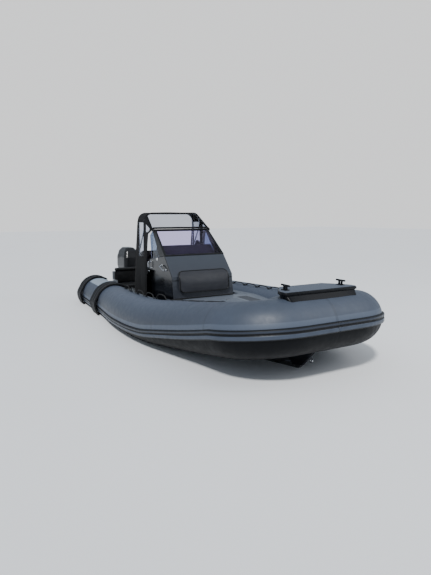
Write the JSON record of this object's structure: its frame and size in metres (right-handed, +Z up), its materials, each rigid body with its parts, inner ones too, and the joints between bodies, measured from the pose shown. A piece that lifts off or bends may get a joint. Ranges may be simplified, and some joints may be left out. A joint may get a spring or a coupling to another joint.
{
  "type": "inflatable rib boat",
  "caption": "Rigid inflatable boat with a deep-V hull, slate-grey tubes, console with tinted windscreen, black canopy, aft bench and outboard.",
  "frame": {"origin": "on the waterline at the foot of the transom, amidships", "axes": "+X to the bow, +Y to port, +Z up"},
  "size_m": [8.2856, 3.2504, 2.887],
  "materials": {
    "tube_cloth": "satin",
    "strake_rubber": "satin",
    "hull_gelcoat": "gloss",
    "deck_gelcoat": "satin",
    "lid_gelcoat": "satin",
    "console_gelcoat": "gloss",
    "black_moulding": "satin",
    "tinted_glass": "gloss",
    "clear_vinyl": "gloss",
    "canvas": "matte",
    "upholstery": "satin",
    "rail_steel": "satin",
    "dark_steel": "satin",
    "rope": "matte",
    "nonslip": "matte",
    "cowl_paint": "gloss",
    "leg_paint": "satin",
    "engine_iron": "matte",
    "prop_steel": "satin"
  },
  "bodies": {
    "boat": {"tube_starboard": "tube_cloth", "tube_bow": "tube_cloth", "tube_port": "tube_cloth", "strake_starboard": "strake_rubber", "strake_port": "strake_rubber", "hull_shell": "hull_gelcoat", "stern_block": "deck_gelcoat", "side_decks": "deck_gelcoat", "foredeck": "deck_gelcoat", "stem_guard": "dark_steel", "towing_eyes": "rail_steel", "tube_pads": "nonslip", "fenders": "strake_rubber", "grab_line_starboard": "rope", "grab_line_port": "rope", "bow_step": "black_moulding", "bow_bollards": "dark_steel", "console_shell": "console_gelcoat", "console_pad": "upholstery", "console_rails": "rail_steel", "dash_panel": "black_moulding", "throttle": "black_moulding", "windscreen_frame": "black_moulding", "windscreen_glass": "tinted_glass", "canopy_frame": "rail_steel", "canopy_top": "canvas", "canopy_windows": "clear_vinyl", "canopy_curtain_starboard": "canvas", "canopy_curtain_port": "canvas", "helm_seat_base": "console_gelcoat", "helm_seat_cushion": "upholstery", "helm_seat_back": "upholstery", "bench_base": "lid_gelcoat", "bench_back": "upholstery", "outboard_bracket": "leg_paint"},
    "outboard_tilt": {"outboard_swivel": "leg_paint"},
    "outboard_steer": {"outboard_leg": "leg_paint", "outboard_cowl": "cowl_paint", "engine_block": "engine_iron"},
    "propeller_shaft": {"propeller": "prop_steel"},
    "helm": {"helm_wheel": "black_moulding"},
    "foredeck_lid": {"foredeck_hatch": "lid_gelcoat"},
    "anchor_lid": {"anchor_hatch": "lid_gelcoat"},
    "door": {"console_door": "console_gelcoat"},
    "bench_lid": {"bench_seat": "upholstery"}
  },
  "joints": [
    {"name": "outboard_tilt", "type": "hinge", "parent": "boat", "child": "outboard_tilt", "pos_m": [-0.02, 0, 0.345], "axis": [0, 1, 0], "range_deg": [-4, 65]},
    {"name": "outboard_steer", "type": "hinge", "parent": "outboard_tilt", "child": "outboard_steer", "pos_m": [-0.14, 0, 0.15], "axis": [0, 0, 1], "range_deg": [-30, 30]},
    {"name": "propeller_spin", "type": "hinge", "parent": "outboard_steer", "child": "propeller_shaft", "pos_m": [-0.5875, 0, -0.63], "axis": [1, 0, 0], "continuous": true},
    {"name": "helm_turn", "type": "hinge", "parent": "boat", "child": "helm", "pos_m": [2.85982, 0.27, 1.0818], "axis": [-0.9153, 0, 0.4027], "range_deg": [-540, 540]},
    {"name": "foredeck_hatch_hinge", "type": "hinge", "parent": "boat", "child": "foredeck_lid", "pos_m": [5.584, 0, 0.509], "axis": [0, 1, 0], "range_deg": [0, 85]},
    {"name": "anchor_hatch_hinge", "type": "hinge", "parent": "boat", "child": "anchor_lid", "pos_m": [6.384, 0, 0.509], "axis": [0, 1, 0], "range_deg": [0, 85]},
    {"name": "console_door_hinge", "type": "hinge", "parent": "boat", "child": "door", "pos_m": [2.906, 0.239, 0.44], "axis": [0, 0, -1], "range_deg": [0, 110]},
    {"name": "bench_seat_hinge", "type": "hinge", "parent": "boat", "child": "bench_lid", "pos_m": [1.015, 0, 0.415], "axis": [0, -1, 0], "range_deg": [0, 85]}
  ],
  "couplings": [
    {"joint": "helm_turn", "follows": "outboard_steer", "ratio": 18}
  ]
}
